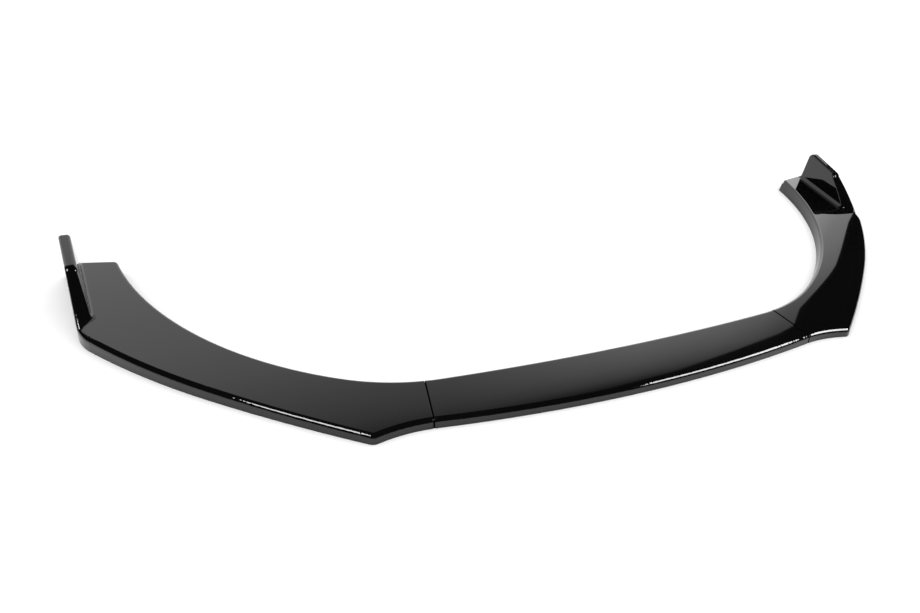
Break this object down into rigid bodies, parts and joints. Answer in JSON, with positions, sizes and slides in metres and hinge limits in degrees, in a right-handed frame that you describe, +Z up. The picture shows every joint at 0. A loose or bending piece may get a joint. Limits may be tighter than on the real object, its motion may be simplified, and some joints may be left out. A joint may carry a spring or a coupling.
{
  "type": "front splitter lip",
  "caption": "Gloss black front splitter lip: a bowed centre section between swept wings with upright end fins, hollow underneath, fixed along the lower edge of a car bumper.",
  "frame": {"origin": "middle of the overall box, on the plane of the lower rim", "axes": "+X across the car to the right wing, +Y rearwards so the leading edge faces -Y, +Z up"},
  "size_m": [1.7724, 0.5852, 0.0968],
  "materials": {
    "gloss_black": "high gloss black",
    "steel": "plain zinc-plated steel"
  },
  "bodies": {
    "root": {"centre_section": "gloss_black", "left_wing": "gloss_black", "right_wing": "gloss_black", "joint_screws": "steel", "joint_washers": "steel"}
  },
  "joints": []
}
